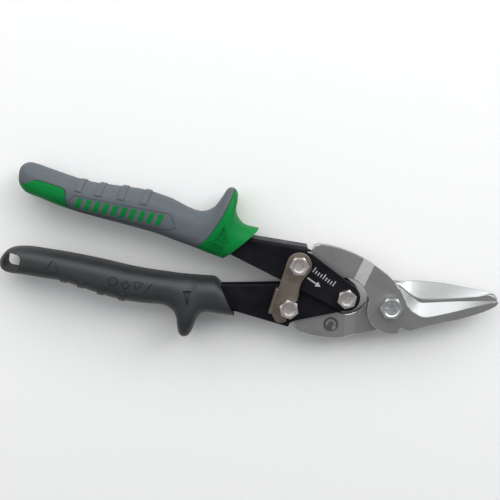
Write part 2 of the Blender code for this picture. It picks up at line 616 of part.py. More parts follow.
def fasteners(zinc, steel):
    under = -UPPER_OUT - SEAT_GAP
    end = under - NUT_H + 0.4
    hex_bolt("upper_tang_bolt", UPPER_PIVOT, LATCH_TOP + SEAT_GAP, end, BOLT_AF, BOLT_HEAD_H,
             BOLT_R, zinc, 13)
    hex_nut("upper_tang_nut", UPPER_PIVOT, under, NUT_H, BOLT_AF, BOLT_R, zinc)
    hex_bolt("handle_pivot_bolt", HANDLE_PIVOT, UPPER_OUT + SEAT_GAP, end, BOLT_AF,
             BOLT_HEAD_H, BOLT_R, zinc, 30)
    hex_nut("handle_pivot_nut", HANDLE_PIVOT, under, NUT_H, BOLT_AF, BOLT_R, zinc)
    ring("handle_pivot_bush", HANDLE_PIVOT, BOLT_R + RUN_GAP, BOLT_R + RUN_GAP + BUSH_WALL,
         -LOWER_IN + SEAT_GAP, LOWER_IN - SEAT_GAP, steel)
    under = -LOWER_OUT - SEAT_GAP
    hex_bolt("lower_tang_bolt", LOWER_PIVOT, LATCH_TOP + SEAT_GAP, under - NUT_H + 0.4,
             BOLT_AF, BOLT_HEAD_H, BOLT_R, zinc, -9, neck=LATCH_BASE - SEAT_GAP)
    hex_nut("lower_tang_nut", LOWER_PIVOT, under, NUT_H, BOLT_AF, BOLT_R, zinc)
    ring("lower_tang_collar", LOWER_PIVOT, BOLT_R + RUN_GAP, COLLAR_R, LOWER_OUT + SEAT_GAP,
         LATCH_BASE - SEAT_GAP, zinc)
    for side, word in ((1, "top"), (-1, "underside")):
        low, high = sorted((side * (TANG_FACE + SEAT_GAP), side * (UPPER_IN - SEAT_GAP)))
        ring(f"upper_tang_spacer_{word}", UPPER_PIVOT, BOLT_R + RUN_GAP, TANG_END_R - RUN_GAP,
             low, high, steel)
    middle = (UPPER_OUT + LATCH_BASE) / 2
    ring("latch_wave_washer", UPPER_PIVOT, BOLT_R + RUN_GAP, BOLT_AF * 0.58,
         middle - WAVE_WASHER_T / 2, middle + WAVE_WASHER_T / 2, steel, WAVE_HEIGHT)
    washer = -BLADE_FACE - SEAT_GAP - WAVE_HEIGHT
    seat = washer - WAVE_WASHER_T - WAVE_HEIGHT - SEAT_GAP
    ring("main_pivot_washer", MAIN_PIVOT, MAIN_BOLT_R + RUN_GAP, MAIN_BOLT_AF * 0.62,
         washer - WAVE_WASHER_T, washer, steel, WAVE_HEIGHT)
    hex_bolt("main_pivot_bolt", MAIN_PIVOT, BLADE_FACE + SEAT_GAP, seat - MAIN_NUT_H + 0.4,
             MAIN_BOLT_AF, MAIN_HEAD_H, MAIN_BOLT_R, steel, 10)
    hex_nut("main_pivot_nut", MAIN_PIVOT, seat, MAIN_NUT_H, MAIN_BOLT_AF, MAIN_BOLT_R, steel)


def stand_on_origin():
    """Move the whole tool so that its box stands with its bottom centre on the origin."""
    bpy.context.view_layer.update()
    graph = bpy.context.evaluated_depsgraph_get()
    corners = []
    for item in FRAME.children:
        if not item.hide_render:
            seen = item.evaluated_get(graph)
            mesh = seen.to_mesh()
            corners += [seen.matrix_world @ vert.co for vert in mesh.vertices]
            seen.to_mesh_clear()
    low = Vector([min(c[i] for c in corners) for i in range(3)])
    high = Vector([max(c[i] for c in corners) for i in range(3)])
    FRAME.location = (-(low.x + high.x) / 2, -(low.y + high.y) / 2, -low.z)
    print("box", [round(n, 6) for n in high - low])
    for name, pivot in (("main pivot", MAIN_PIVOT), ("upper tang", UPPER_PIVOT),
                        ("lower tang", LOWER_PIVOT), ("handle pivot", HANDLE_PIVOT)):
        print(name, [round(n, 6) for n in FRAME.location + pivot * MM])


clear_scene()
FRAME = bpy.data.objects.new("tool_frame", None)
bpy.context.collection.objects.link(FRAME)

BLADE_STEEL = material("blade_steel", (0.30, 0.30, 0.29), 0.38, 1.0)
BLACK_STEEL = material("black_steel", (0.012, 0.012, 0.016), 0.35, 0.2)
ZINC = material("zinc", (0.55, 0.51, 0.50), 0.35, 1.0)
BRIGHT_STEEL = material("bright_steel", (0.42, 0.43, 0.43), 0.32, 1.0)
LATCH_STEEL = material("latch_steel", (0.30, 0.26, 0.21), 0.45, 1.0)
SPRING_STEEL = material("spring_steel", (0.20, 0.20, 0.21), 0.30, 1.0)
GREY_RUBBER = material("grey_rubber", (0.115, 0.13, 0.14), 0.60, 0.0)
GREEN_RUBBER = material("green_rubber", (0.015, 0.30, 0.05), 0.45, 0.0)
CHARCOAL = material("charcoal", (0.030, 0.033, 0.036), 0.42, 0.0)

front_blade(BLADE_STEEL)
back_blade(BLADE_STEEL)
upper_pocket = channel("upper_handle_channel", upper_stations(), (UPPER_IN, UPPER_OUT), 1,
                       HANDLE_PIVOT, BLACK_STEEL)
lower_pocket = channel("lower_handle_channel", lower_stations(), (LOWER_IN, LOWER_OUT), -1,
                       HANDLE_PIVOT, BLACK_STEEL)
upper_grip(upper_pocket, GREY_RUBBER, GREEN_RUBBER)
lower_grip(lower_pocket, CHARCOAL)
latch(LATCH_STEEL)
return_spring(SPRING_STEEL)
fasteners(ZINC, BRIGHT_STEEL)
stand_on_origin()
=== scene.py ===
from math import atan2, cos, pi, radians, sin

import bmesh
import bpy
from mathutils import Matrix, Vector
from mathutils.bvhtree import BVHTree


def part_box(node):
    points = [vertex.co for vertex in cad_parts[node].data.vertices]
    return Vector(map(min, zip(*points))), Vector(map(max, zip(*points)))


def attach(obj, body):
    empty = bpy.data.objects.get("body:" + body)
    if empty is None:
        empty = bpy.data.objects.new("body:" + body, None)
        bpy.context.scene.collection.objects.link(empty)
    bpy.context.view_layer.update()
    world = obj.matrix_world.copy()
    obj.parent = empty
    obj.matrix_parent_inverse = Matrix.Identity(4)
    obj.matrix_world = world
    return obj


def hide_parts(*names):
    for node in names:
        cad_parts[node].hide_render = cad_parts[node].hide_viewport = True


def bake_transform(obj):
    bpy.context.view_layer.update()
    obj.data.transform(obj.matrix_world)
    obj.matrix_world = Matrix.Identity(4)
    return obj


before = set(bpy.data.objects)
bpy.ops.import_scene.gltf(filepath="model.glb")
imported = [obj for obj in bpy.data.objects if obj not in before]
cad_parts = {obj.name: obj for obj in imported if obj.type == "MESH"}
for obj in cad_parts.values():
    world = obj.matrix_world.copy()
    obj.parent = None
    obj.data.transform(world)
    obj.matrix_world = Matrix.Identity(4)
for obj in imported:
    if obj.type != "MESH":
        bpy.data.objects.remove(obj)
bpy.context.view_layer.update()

# ---- The two blades ---------------------------------------------------------------------
# Each is one drop forging from tang to tip, in hardened alloy steel. The flats are ground
# dull, and the slopes that run down to the cutting edges are ground bright. Outside the
# jaw the rounded edges, and faintly the tang ramps, are painted near white: a painted highlight.

MM = 0.001


def middle(node):
    low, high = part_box(node)
    return (low + high) / 2


main_pivot = middle("main_pivot_bolt")
main_pivot.z = middle("upper_handle_channel").z      # the shear plane between the blades


def at(x, y, z=0.0):
    """A place in millimetres from the main pivot and the shear plane."""
    return main_pivot + Vector((x, y, z)) * MM


def arc(centre, radius, start, end, count):
    turns = [radians(start + (end - start) * i / (count - 1)) for i in range(count)]
    return [(centre[0] + radius * cos(a), centre[1] + radius * sin(a)) for a in turns]


def node(material, kind, inputs, **settings):
    """Add a shader node. Each input is a value or another node's output."""
    made = material.node_tree.nodes.new("ShaderNode" + kind)
    for key, value in settings.items():
        setattr(made, key, value)
    for key, value in inputs.items():
        if isinstance(value, bpy.types.NodeSocket):
            material.node_tree.links.new(value, made.inputs[key])
        else:
            made.inputs[key].default_value = value
    return made


def new_finish(name, metallic, specular=0.5):
    made = bpy.data.materials.new(name)
    made.use_nodes = True
    shader = made.node_tree.nodes["Principled BSDF"]
    shader.inputs["Metallic"].default_value = metallic
    shader.inputs["Specular IOR Level"].default_value = specular
    return made


def wire(material, socket, value):
    shader = material.node_tree.nodes["Principled BSDF"]
    material.node_tree.links.new(value, shader.inputs[socket])


def grain(material, size, stretch=(1, 1, 1), detail=2.0):
    """Random grain of about a size in metres, drawn out along the axes with less stretch."""
    place = node(material, "TexCoord", {}).outputs["Object"]
    drawn = node(material, "Mapping", {"Vector": place, "Scale": stretch}).outputs[0]
    noise = node(material, "TexNoise", {"Vector": drawn, "Scale": 1 / size, "Detail": detail})
    return noise.outputs[0]


def between(material, value, low, high, start=0.3, end=0.7):
    """A value's stretch from start to end, turned into one from low to high."""
    return node(material, "MapRange", {"Value": value, "From Min": start, "From Max": end,
                                       "To Min": low, "To Max": high}).outputs[0]


def tint(material, factor, first, second):
    return node(material, "MixRGB", {"Fac": factor, "Color1": (*first, 1),
                                     "Color2": (*second, 1)}).outputs[0]


def relief(material, height, depth, normal=None):
    """Fine bumps of a depth in metres."""
    inputs = {"Height": height, "Strength": 1.0, "Distance": depth}
    if normal:
        inputs["Normal"] = normal
    return node(material, "Bump", inputs).outputs[0]


def cad_copy(name):
    """A copy of a CAD node's mesh with its triangles joined into whole faces."""
    bm = bmesh.new()
    bm.from_mesh(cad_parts[name].data)
    bmesh.ops.remove_doubles(bm, verts=bm.verts, dist=1e-6)
    bmesh.ops.dissolve_limit(bm, angle_limit=radians(1), verts=bm.verts, edges=bm.edges)
    return bm


def soften(bm, edges, width, segments=3):
    bmesh.ops.bevel(bm, geom=edges, offset=width, segments=segments, profile=0.5,
                    affect="EDGES", material=-1, clamp_overlap=False)


def corners(bm, above):
    return [e for e in bm.edges if len(e.link_faces) == 2
            and e.calc_face_angle() > radians(above)]


def fit(name, bm, body, slot, finish, *nodes, flats=False, crease=38):
    """Make a piece from a mesh, and hang it on its body in place of its CAD nodes. The
    normals of a piece with ground flats lean on its larger faces."""
    mesh = bpy.data.meshes.new(name)
    bm.to_mesh(mesh)
    bm.free()
    mesh.shade_smooth()
    mesh.set_sharp_from_angle(angle=radians(crease))
    mesh.materials.append(finish)
    piece = bpy.data.objects.new(name, mesh)
    bpy.context.collection.objects.link(piece)
    if flats:
        step = piece.modifiers.new("flats", "WEIGHTED_NORMAL")
        step.keep_sharp = True
    if body:
        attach(piece, body)
    if nodes:
        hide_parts(*nodes)
    return piece


def carved(bm, *cutters):
    """The mesh less its cutters' shapes."""
    objects = []
    for shape in (bm, *cutters):
        bmesh.ops.recalc_face_normals(shape, faces=shape.faces)
        mesh = bpy.data.meshes.new("carving")
        shape.to_mesh(mesh)
        shape.free()
        objects.append(bpy.data.objects.new("carving", mesh))
        bpy.context.collection.objects.link(objects[-1])
    for tool in objects[1:]:
        step = objects[0].modifiers.new("cut", "BOOLEAN")
        step.operation = "DIFFERENCE"
        step.solver = "EXACT"
        step.object = tool
    result = bmesh.new()
    result.from_object(objects[0], bpy.context.evaluated_depsgraph_get())
    for item in objects:
        bpy.data.objects.remove(item)
    return result


def moved(geometry):
    """The vertices among what an extrusion has made."""
    return [item for item in geometry if isinstance(item, bmesh.types.BMVert)]


def plate(outline, low, high):
    """An outline in millimetres as a plate between two levels over the shear plane."""
    bm = bmesh.new()
    face = bm.faces.new([bm.verts.new(at(x, y, low)) for x, y in outline])
    made = bmesh.ops.extrude_face_region(bm, geom=[face])["geom"]
    bmesh.ops.translate(bm, verts=moved(made), vec=(0, 0, (high - low) * MM))
    bmesh.ops.recalc_face_normals(bm, faces=bm.faces)
    return bm


BLADE_T = 4.6
TIP_T = 2.2
EDGE_T = 0.25
BACK_T = 2.0
SEAT_GAP = 0.15
JAW_LENGTH = 55.0
JAW_ANGLE = 14.9
TAPER_START = 15.0
TANG_FACE = BLADE_T / 2
ROUNDING = 0.45               # of the forgings' corners
TIP_LENGTH = 1.5              # where the corners are left sharp
upper_pivot = (-51.06, 11.32)
lower_pivot = (-51.06, -11.32)
hub = (1.2, -1.0)


def jaw(along, across):
    """A place along the cutting edges' direction and square to it."""
    c, s = cos(radians(JAW_ANGLE)), sin(radians(JAW_ANGLE))
    return (along * c - across * s, along * s + across * c)


def curve_through(rows, steps):
    """A Catmull-Rom curve through rows of numbers, with steps from each row to the next."""
    ends = [rows[0], *rows, rows[-1]]
    result = []
    for i in range((len(rows) - 1) * steps + 1):
        span = min(i // steps, len(rows) - 2)
        t = i / steps - span
        result.append([0.5 * (2 * q + (r - p) * t + (2 * p - 5 * q + 4 * r - s) * t ** 2
                              + (3 * q - p - 3 * r + s) * t ** 3)
                       for p, q, r, s in zip(*ends[span:span + 4])])
    return result


def mirrored(points):
    return [(x, -y) for x, y in reversed(points)]


def tang_back(belly):
    x, y = upper_pivot
    shoulder = [(x + 5.2, y + 6.4), (x + 5.8, y + 9.2), (x + 6.2, y + belly - 1.4),
                (x + 8.0, y + belly - 0.5)]
    hump = [(x + 13.6, y + belly), (x + 20, y + belly - 0.2), (x + 28, y + belly - 1.4),
            (-16.0, 20.0), (-10.4, 17.9), (-5.0, 15.4), (-0.8, 12.9)]
    return shoulder + curve_through([shoulder[-1], *hump], 10)[1:]


def tang_front():
    x, y = upper_pivot
    inner = curve_through([(-12.6, 2.8), (-14.9, 6.0), (-18.2, 8.3), (-23.0, 9.4), (-30, 8.4),
                           (x + 9.5, y - 4.0)], 5)
    return inner + arc((x, y), 6.4, -62, -290, 24)


def stack(rings):
    """A solid in millimetres through rings of equally many points, with its first and last
    faces."""
    bm = bmesh.new()
    first = face = bm.faces.new([bm.verts.new(point) for point in rings[0]])
    for ring in rings[1:]:
        geometry = bmesh.ops.extrude_face_region(bm, geom=[face])["geom"]
        if face is not first:
            bmesh.ops.delete(bm, geom=[face], context="FACES_ONLY")
        face = next(item for item in geometry if isinstance(item, bmesh.types.BMFace))
        for vert, point in zip(face.verts, ring):
            vert.co = point
    return bm, first, face


def forged(outer, widest, shear, side):
    """A blade from three outlines: its outer face, the widest one with its thicknesses, and
    the face that slides on the other blade. The corners are rounded, but the cutting edge's
    are left keen. Then the jaw is thinned to its tip and the tang is joggled."""
    bm, inside, outside = stack([[(x, y, 0) for x, y in shear], widest,
                                 [(x, y, BLADE_T) for x, y in outer]])
    round_off = list(outside.edges)
    for edge in inside.edges:
        wall = next(face for face in edge.link_faces if face is not inside)
        if max(vert.co.z for vert in wall.verts) > 2 * EDGE_T:
            round_off.append(edge)
    along = Vector((cos(radians(JAW_ANGLE)), sin(radians(JAW_ANGLE)), 0))
    round_off = [edge for edge in round_off
                 if edge.verts[0].co.dot(along) < JAW_LENGTH - TIP_LENGTH]
    soften(bm, round_off, ROUNDING, 12)
    ramp_starts = Vector((-14.8, 12.6 * side, 0))
    ramp_ends = Vector((-20.4, 15.0 * side, 0))
    ramp_way = Vector((-0.96, 0.2 * side, 0)).normalized()
    for place, way in ((along * TAPER_START, along), (ramp_starts, ramp_way),
                       (ramp_ends, ramp_way)):
        bmesh.ops.bisect_plane(bm, geom=[*bm.verts, *bm.edges, *bm.faces], plane_co=place,
                               plane_no=way, dist=0.001)
    ramp = (ramp_ends - ramp_starts).dot(ramp_way)
    for vert in bm.verts:
        beyond = max(0, vert.co.dot(along) - TAPER_START)
        thin = max(0.3, 1 - beyond / (JAW_LENGTH - TAPER_START) * (1 - TIP_T / BLADE_T))
        flat = Vector((vert.co.x, vert.co.y, 0))
        joggle = min(1, max(0, (flat - ramp_starts).dot(ramp_way) / ramp))
        vert.co.z = side * (SEAT_GAP + vert.co.z * thin - joggle * (SEAT_GAP + BLADE_T / 2))
    bmesh.ops.scale(bm, verts=bm.verts, vec=(MM, MM, MM))
    bmesh.ops.translate(bm, verts=bm.verts, vec=main_pivot)
    bmesh.ops.recalc_face_normals(bm, faces=bm.faces)
    return bm


ground = new_finish("ground_blade_steel", 1.0)
place = node(ground, "TexCoord", {})
upright = node(ground, "SeparateXYZ", {"Vector": place.outputs["Normal"]}).outputs["Z"]
upright = node(ground, "Math", {0: upright}, operation="ABSOLUTE").outputs[0]
forward = node(ground, "SeparateXYZ", {"Vector": place.outputs["Object"]}).outputs["X"]
in_jaw = between(ground, forward, 0, 1, main_pivot.x + 0.002, main_pivot.x + 0.009)
slope = between(ground, upright, 1, 0, 0.955, 0.995)
slope = node(ground, "Math", {0: slope, 1: in_jaw}, operation="MULTIPLY").outputs[0]
# The rounded edges' faces, picked by their tilt; this mask carries the painted edge highlight.
rounded = between(ground, upright, 1, 0, 0.90, 0.93)
edge_only = between(ground, upright, 0, 1, 0.15, 0.35)
rounded = node(ground, "Math", {0: rounded, 1: edge_only}, operation="MULTIPLY").outputs[0]
ground_and_edge_highlight_mask = node(ground, "Math", {0: slope, 1: rounded}, operation="MAXIMUM").outputs[0]
scratches = grain(ground, 0.0003, (0.06, 1, 1), 3)
clouds = grain(ground, 0.007, (0.5, 1, 1), 4)
speckle = grain(ground, 0.00045, (1, 1, 1), 2)
dull = tint(ground, between(ground, clouds, 0, 1), (0.31, 0.31, 0.305), (0.36, 0.36, 0.355))
bright = tint(ground, between(ground, scratches, 0, 1), (0.36, 0.37, 0.37), (0.43, 0.44, 0.44))
# Painted highlight: outside the jaw the rounded edges get a near-white colour for the light along
# them; in the jaw, edges and slopes get ground bright steel.
edge_highlight_and_ground_bright = node(ground, "MixRGB", {"Fac": in_jaw, "Color1": (0.74, 0.75, 0.75, 1),
                                "Color2": bright}).outputs[0]
wire(ground, "Base Color", node(ground, "MixRGB", {"Fac": ground_and_edge_highlight_mask, "Color1": dull,
                                                   "Color2": edge_highlight_and_ground_bright}).outputs[0])
keen = between(ground, scratches, 0.42, 0.52)
matte = between(ground, speckle, 0.40, 0.52)
wire(ground, "Roughness", node(ground, "MixRGB", {"Fac": ground_and_edge_highlight_mask, "Color1": matte,
                                                  "Color2": keen}).outputs[0])
wire(ground, "Normal", relief(ground, scratches, 0.000006, relief(ground, speckle, 0.00001)))

plain = tang_back(12.0)
edge = curve_through([(2.2, 11.2), (7.0, 8.6), jaw(13.2, 3.0), jaw(16.0, 1.1), jaw(21, 0.9),
                      jaw(32, 1.1), jaw(45, 1.0), jaw(55.2, 1.0)], 8)
crest = curve_through([(1.6, 10.6), (5.0, 7.0), (8.3, 2.8), jaw(12.5, -3.4), jaw(18.2, -5.6),
                       jaw(29, -4.2), jaw(42, -1.6), jaw(53.8, 0.5)], 8)
back = curve_through([jaw(55.5, 0.3), jaw(53.6, -1.9), jaw(46.0, -4.9), jaw(34, -7.8),
                      jaw(22, -9.8), jaw(9.6, -12.6)], 6)
land = curve_through([jaw(55.2, 0.2), jaw(52.8, -1.6), jaw(44.5, -3.4), jaw(32, -3.6),
                      jaw(19.5, -3.9), jaw(12.2, -11.4)], 6)
notch = [(9.4, -9.7), (8.0, -9.1), (6.8, -10.6), (7.5, -12.0)]
rest = notch + arc(hub, 12.9, -66, -190, 40) + tang_front()
thick = BLADE_T - 1.0
widest = ([(x, y, thick) for x, y in plain] + [(x, y, EDGE_T) for x, y in edge]
          + [(x, y, BLADE_T - BACK_T) for x, y in back] + [(x, y, thick) for x, y in rest])
front = forged(plain + crest + back + rest, widest, plain + edge + land + rest, 1)
fit("front_blade_forging", carved(front, plate(arc((0, 0), 4.3, 0, 350, 36), -9, 9),
                                  plate(arc(upper_pivot, 3.8, 0, 350, 36), -9, 9)),
    "front_blade", "blade_steel", ground, "front_blade", flats=True, crease=15)

plain = mirrored(tang_front()) + mirrored(arc(hub, 12.9, -150, -190, 12))
back = curve_through([(-2.0, 12.4), (4.0, 13.1), jaw(11.2, 11.8), jaw(19, 11.3), jaw(31, 9.6),
                      jaw(43, 6.9), jaw(51.5, 4.9), jaw(54.8, 3.3), jaw(55.8, 1.2)], 8)
land = curve_through([(-1.6, 12.0), (2.4, 11.8), jaw(10.6, 5.8), jaw(15, 3.2), jaw(21, 2.5),
                      jaw(34, 2.6), jaw(44.5, 3.2), jaw(51.0, 4.0), jaw(55.3, 1.0)], 8)
edge = curve_through([jaw(55.3, 0.1), jaw(48, -0.8), jaw(36, -1.4), jaw(24, -2.2),
                      jaw(14.5, -4.0), jaw(8.8, -9.8)], 6)
crest = curve_through([jaw(54.6, 1.4), jaw(48, 2.2), jaw(36, 3.2), jaw(24, 4.4),
                       jaw(12.5, 0.5), jaw(5.8, -9.2)], 6)
rest = [(2.2, -11.2), (-1.0, -12.9)] + mirrored(tang_back(12.7))[1:]
widest = ([(x, y, thick) for x, y in plain] + [(x, y, BLADE_T - BACK_T) for x, y in back]
          + [(x, y, EDGE_T) for x, y in edge] + [(x, y, thick) for x, y in rest])
behind = forged(plain + back + crest + rest, widest, plain + land + edge + rest, -1)
BADGE = (-27.4, -16.2)
fit("back_blade_forging", carved(behind, plate(arc((0, 0), 4.3, 0, 350, 36), -9, 9),
                                 plate(arc(lower_pivot, 3.3, 0, 350, 36), -9, 9),
                                 plate(arc(BADGE, 3.9, 0, 354, 60), TANG_FACE - 0.35, 6)),
    "back_blade", "blade_steel", ground, "back_blade", flats=True, crease=15)

turn_mark = arc(BADGE, 2.6, 200, -20, 22)
turn_mark += [(BADGE[0] + 3.3, BADGE[1] - 0.9), (BADGE[0] + 1.8, BADGE[1] - 2.9),
              (BADGE[0] + 0.6, BADGE[1] - 0.7)]
turn_mark += arc(BADGE, 1.6, -20, 200, 18)
fit("turn_direction_mark", plate(turn_mark, TANG_FACE - 0.4, TANG_FACE), "back_blade",
    "blade_steel", ground)

# The badge's recess gets a separate floor disc, coloured darker than the ground blade.
recess_floor_finish = new_finish("darker_recess_floor", 0.8)
floor_grain = grain(recess_floor_finish, 0.0005, (1, 1, 1), 3)
wire(recess_floor_finish, "Base Color", tint(recess_floor_finish, between(recess_floor_finish, floor_grain, 0, 1),
                                     (0.085, 0.085, 0.085), (0.14, 0.14, 0.135)))
wire(recess_floor_finish, "Roughness", between(recess_floor_finish, floor_grain, 0.5, 0.7))
fit("badge_floor", plate(arc(BADGE, 3.87, 0, 354, 60), TANG_FACE - 0.4, TANG_FACE - 0.32),
    "back_blade", "blade_steel", recess_floor_finish)

# ---- Main pivot bolt, washer and nut ----------------------------------------------------
# A hardened hexagon bolt clamps the blades through a wave washer. Its head is cold forged,
# with a shallow dish and six grade ticks, and the nut locks underneath.


def hexagon(flats):
    """The reach of a hexagon at an angle."""
    return lambda angle: flats / 2 / cos(angle % (pi / 3) - pi / 6)


def chamfered(flats, level, side):
    """A hexagon's top edge where a cone has cut its corners down, as a reach and a level."""
    reach = hexagon(flats)

    def drop(angle):
        return level - side * max(0, reach(angle) - flats * 0.49) * 0.6
    return reach, drop


def stacked(centre, turn, rings, segments=96, bored=False):
    """A solid through rings about an upright axis. A ring's reach and level are numbers in
    millimetres or depend on the angle. A bored solid joins its last ring to its first."""
    bm = bmesh.new()
    made = bmesh.ops.create_circle(bm, cap_ends=True, segments=segments, radius=1)
    face = made["verts"][0].link_faces[0]
    first = face
    for reach, level in rings:
        if (reach, level) != rings[0]:
            geometry = bmesh.ops.extrude_face_region(bm, geom=[face])["geom"]
            if face is not first or bored:
                bmesh.ops.delete(bm, geom=[face], context="FACES_ONLY")
            face = next(item for item in geometry if isinstance(item, bmesh.types.BMFace))
        for vert in face.verts:
            angle = atan2(vert.co.y, vert.co.x)
            r = reach(angle) if callable(reach) else reach
            z = level(angle) if callable(level) else level
            vert.co = (r * cos(angle), r * sin(angle), z)
    if bored:
        bmesh.ops.delete(bm, geom=[face], context="FACES_ONLY")
        rims = [edge for edge in bm.edges if edge.is_boundary]
        bmesh.ops.bridge_loops(bm, edges=rims)
    bmesh.ops.recalc_face_normals(bm, faces=bm.faces)
    bmesh.ops.rotate(bm, verts=bm.verts, matrix=Matrix.Rotation(radians(turn), 3, "Z"))
    bmesh.ops.scale(bm, verts=bm.verts, vec=(MM, MM, MM))
    bmesh.ops.translate(bm, verts=bm.verts, vec=centre)
    return bm


def bolt_rings(radius, end, seat, flats, top, dish, depth, neck=None):
    """A bolt from its end up: shank, washer face, chamfered hexagon and dished crown."""
    rings = [(radius - 0.5, end), (radius, end + 0.5)]
    if neck:
        rings += [(radius, neck[1]), (neck[0], neck[1]), (neck[0], seat)]
    else:
        rings += [(radius, seat)]
    rings += [(flats * 0.47, seat), (flats * 0.48, seat + 0.25), (hexagon(flats), seat + 0.25)]
    reach, drop = chamfered(flats, top, 1)
    rings += [(reach, drop), (flats * 0.455, top), (flats * 0.44, top + 0.001)]
    rings += [(dish + 0.35, top), (dish + 0.12, top - 0.08), (dish - 0.1, top - depth * 0.8),
              (dish - 0.4, top - depth), (0.4, top - depth)]
    return rings


def nut_rings(bore, seat, end, flats):
    """A nut from its seat down, chamfered at both ends and bored."""
    upper = chamfered(flats, seat, 1)
    lower = chamfered(flats, end, -1)
    return [(bore, seat - 0.3), (bore + 0.35, seat), (flats * 0.46, seat), upper, lower,
            (flats * 0.46, end), (bore + 0.35, end), (bore, end + 0.3)]


def levels(node_name):
    """A node's lowest and highest levels over the shear plane, in millimetres."""
    low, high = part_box(node_name)
    return (low.z - main_pivot.z) / MM, (high.z - main_pivot.z) / MM


hardened = new_finish("hardened_bright_steel", 1.0)
mottle = grain(hardened, 0.0006, (1, 1, 1), 3)
patches = grain(hardened, 0.003, (1, 1, 1), 2)
wire(hardened, "Base Color", tint(hardened, between(hardened, patches, 0, 1),
                                  (0.48, 0.49, 0.49), (0.62, 0.63, 0.63)))
wire(hardened, "Roughness", between(hardened, mottle, 0.26, 0.44))
wire(hardened, "Normal", relief(hardened, mottle, 0.000012))

MAIN_FLATS = 10.2
MAIN_SHANK = 4.0
MAIN_HEAD = 4.4
end, top = levels("main_pivot_bolt")
head = stacked(at(0, 0), 10, bolt_rings(MAIN_SHANK, end, top - MAIN_HEAD, MAIN_FLATS, top,
                                        3.75, 0.45))
fit("main_pivot_hex_bolt", head, "back_blade", "bright_steel", hardened, "main_pivot_bolt",
    flats=True)
ticks = bmesh.new()
for i in range(6):
    tick = bmesh.ops.create_cube(ticks, size=1)["verts"]
    bmesh.ops.scale(ticks, verts=tick, vec=(1.3 * MM, 0.55 * MM, 0.5 * MM))
    bmesh.ops.translate(ticks, verts=tick, vec=(2.45 * MM, 0, (top - 0.3) * MM))
    bmesh.ops.rotate(ticks, verts=tick, matrix=Matrix.Rotation(radians(60 * i + 10), 3, "Z"))
bmesh.ops.translate(ticks, verts=ticks.verts, vec=at(0, 0))
soften(ticks, ticks.edges[:], 0.06 * MM, 2)
fit("main_pivot_grade_ticks", ticks, "back_blade", "bright_steel", hardened)
end, seat = levels("main_pivot_nut")
nut = stacked(at(0, 0), 0, nut_rings(MAIN_SHANK + 0.3, seat, end, MAIN_FLATS), bored=True)
fit("main_pivot_lock_nut", nut, "back_blade", "bright_steel", hardened, "main_pivot_nut",
    flats=True)
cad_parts["main_pivot_washer"].material_slots[0].material = hardened

# ---- Handle channels --------------------------------------------------------------------
# Each handle is a pressed steel channel: a web along its back and a plate down each side.
# Both are dipped in satin black paint, which is thin on the sheared edges.

black = new_finish("satin_black_paint", 0.0, 0.06)
peel = grain(black, 0.0011, (1, 1, 1), 2)
dust = grain(black, 0.009, (1, 1, 1), 5)
ridge = node(black, "NewGeometry", {}).outputs["Pointiness"]
worn = between(black, ridge, 0, 1, 0.52, 0.60)
paint = tint(black, between(black, dust, 0, 1), (0.0045, 0.0045, 0.0065), (0.009, 0.009, 0.012))
wire(black, "Base Color", node(black, "MixRGB", {"Fac": worn, "Color1": paint,
                                                 "Color2": (0.03, 0.03, 0.034, 1)}).outputs[0])
wire(black, "Roughness", between(black, dust, 0.30, 0.42))
wire(black, "Normal", relief(black, peel, 0.00002))

PRESSED_EDGE = 0.28
for handle in ("upper_handle", "lower_handle"):
    pressing = cad_copy(handle + "_channel")
    soften(pressing, corners(pressing, 50), PRESSED_EDGE * MM)
    fit(handle + "_pressing", pressing, handle, "black_steel", black, handle + "_channel",
        flats=True)

# Size ticks and a turn arrow are pad printed in silver on the upper plate, beside the arm.
silver = new_finish("silver_print", 0.6)
flecks = grain(silver, 0.0004, (1, 1, 1), 2)
wire(silver, "Base Color", tint(silver, between(silver, flecks, 0, 1), (0.42, 0.42, 0.42),
                                (0.60, 0.60, 0.60)))
wire(silver, "Roughness", between(silver, flecks, 0.4, 0.6))

handle_pivot = (-23.49, 0.0)
PLATE_TOP = levels("upper_handle_channel")[1]
run = Vector((handle_pivot[0] - upper_pivot[0], handle_pivot[1] - upper_pivot[1])).normalized()
across = Vector((-run.y, run.x))


def on_arm(along, aside):
    """A place on the upper plate, along the arm from the tang's bolt and square to it."""
    place = Vector(upper_pivot) + run * along + across * aside
    return (place.x, place.y)


print_marks = bmesh.new()
for i in range(9):
    start = 7.6 + 1.55 * i
    reach = 2.9 if i % 4 == 0 else 1.9
    tick = [(start, 0.9), (start + 0.55, 0.9), (start + 0.55, 0.9 + reach),
            (start, 0.9 + reach)]
    print_marks.faces.new([print_marks.verts.new(at(*on_arm(*c), PLATE_TOP + 0.01))
                           for c in tick])
arrow = [(7.4, -2.6), (13.0, -2.6), (13.0, -1.5), (15.6, -3.0), (13.0, -4.5), (13.0, -3.4),
         (7.4, -3.4)]
print_marks.faces.new([print_marks.verts.new(at(*on_arm(*c), PLATE_TOP + 0.01)) for c in arrow])
raised = bmesh.ops.extrude_face_region(print_marks, geom=print_marks.faces[:])["geom"]
bmesh.ops.translate(print_marks, verts=moved(raised), vec=(0, 0, 0.04 * MM))
bmesh.ops.recalc_face_normals(print_marks, faces=print_marks.faces)
fit("upper_plate_print", print_marks, "upper_handle", "zinc", silver)

# ---- Tang and handle bolts --------------------------------------------------------------
# Three zinc plated bolts carry the compound linkage, with dished heads as the cold header
# leaves them. Nuts hold them underneath, and plain washers and a collar space the plates.

zinc = new_finish("zinc_plate", 1.0)
crystals = grain(zinc, 0.0005, (1, 1, 1), 3)
stain = grain(zinc, 0.0024, (1, 1, 1), 3)
wire(zinc, "Base Color", tint(zinc, between(zinc, stain, 0, 1), (0.52, 0.48, 0.46),
                              (0.70, 0.66, 0.64)))
wire(zinc, "Roughness", between(zinc, crystals, 0.25, 0.45))
wire(zinc, "Normal", relief(zinc, crystals, 0.000016))

